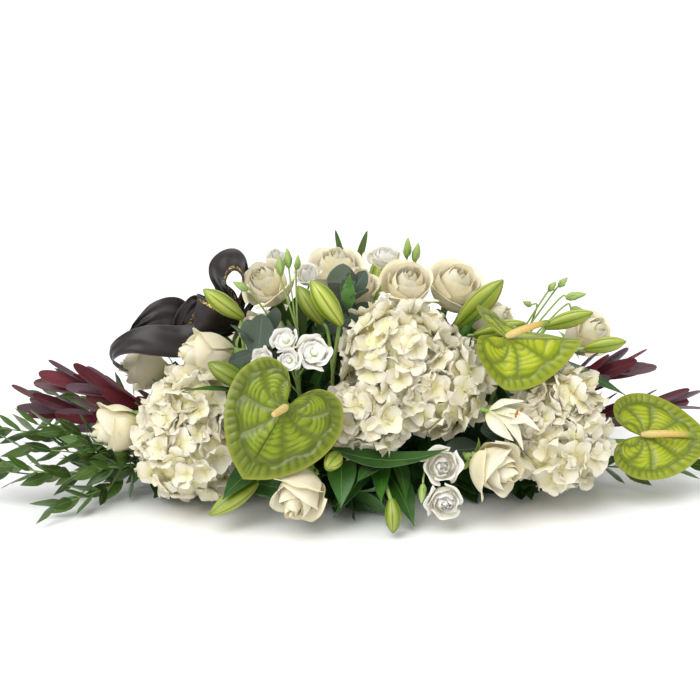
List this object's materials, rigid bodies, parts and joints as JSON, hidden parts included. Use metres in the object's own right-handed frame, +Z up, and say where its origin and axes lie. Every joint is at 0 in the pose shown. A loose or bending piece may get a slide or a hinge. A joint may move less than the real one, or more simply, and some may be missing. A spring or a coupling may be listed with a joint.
{
  "type": "funeral flower arrangement",
  "caption": "Long low mound of roses, hydrangeas, lilies, anthuriums and leaves with a black ribbon, stems in wet foam on a tray.",
  "frame": {"origin": "middle of the tray's underside, on the surface that the arrangement rests on", "axes": "+X along the arrangement to the viewer's right, -Y towards the front with the large spathes, +Z up"},
  "size_m": [0.9358, 0.4022, 0.296],
  "materials": {
    "cream_petal": "soft cream rose petals, greener at the base",
    "white_petal": "white petals with faint cream and green tints",
    "lily_green": "waxy yellow-green buds and narrow leaves",
    "leaf_green": "dark glossy leaves with a paler midrib",
    "spathe_green": "glossy lime green, quilted between sunken veins",
    "spadix_yellow": "matt beaded spike, peach to green",
    "burgundy_leaf": "leathery dark burgundy, satin",
    "grey_leaf": "matt blue-grey green with a waxy bloom",
    "black_satin": "black satin with a narrow gold glitter edge",
    "floral_foam": "wet green foam, matt, finely porous",
    "tray_plastic": "thin dark green moulded plastic"
  },
  "bodies": {
    "root": {"anthurium_far": "spathe_green", "anthurium_far_spadix": "spadix_yellow", "anthurium_front": "spathe_green", "anthurium_front_spadix": "spadix_yellow", "anthurium_right": "spathe_green", "anthurium_right_spadix": "spadix_yellow", "eucalyptus_front": "grey_leaf", "eucalyptus_left": "grey_leaf", "eucalyptus_top": "grey_leaf", "foam_block": "floral_foam", "hydrangea_back": "white_petal", "hydrangea_back_right": "white_petal", "hydrangea_centre": "white_petal", "hydrangea_left": "white_petal", "hydrangea_low": "white_petal", "hydrangea_right": "white_petal", "leucadendron_back": "burgundy_leaf", "leucadendron_left_lower": "burgundy_leaf", "leucadendron_left_upper": "burgundy_leaf", "leucadendron_right_lower": "burgundy_leaf", "leucadendron_right_upper": "burgundy_leaf", "lily_bud_front": "lily_green", "lily_bud_front_left": "lily_green", "lily_bud_left": "lily_green", "lily_bud_left_top": "lily_green", "lily_bud_middle_low": "lily_green", "lily_buds_back": "lily_green", "lily_buds_middle": "lily_green", "lily_buds_right": "lily_green", "lily_buds_right_top": "lily_green", "lily_open": "cream_petal", "lisianthus_buds_left": "lily_green", "lisianthus_centre": "white_petal", "lisianthus_front": "white_petal", "lisianthus_right": "lily_green", "lisianthus_top": "white_petal", "lisianthus_top_left": "white_petal", "ribbon_bow": "black_satin", "rose_back_left": "cream_petal", "rose_back_right": "cream_petal", "rose_front": "cream_petal", "rose_front_right": "cream_petal", "rose_left_low": "cream_petal", "rose_left_mid": "cream_petal", "rose_left_top": "cream_petal", "rose_ribbon": "cream_petal", "rose_right": "cream_petal", "rose_top_behind": "cream_petal", "rose_top_centre": "cream_petal", "rose_top_left": "cream_petal", "rose_top_right": "cream_petal", "ruscus_back": "leaf_green", "ruscus_front_left": "leaf_green", "ruscus_left": "leaf_green", "ruscus_right": "leaf_green", "salal_back": "leaf_green", "salal_back_right": "leaf_green", "salal_front": "leaf_green", "salal_top": "leaf_green", "tray": "tray_plastic"}
  },
  "joints": []
}
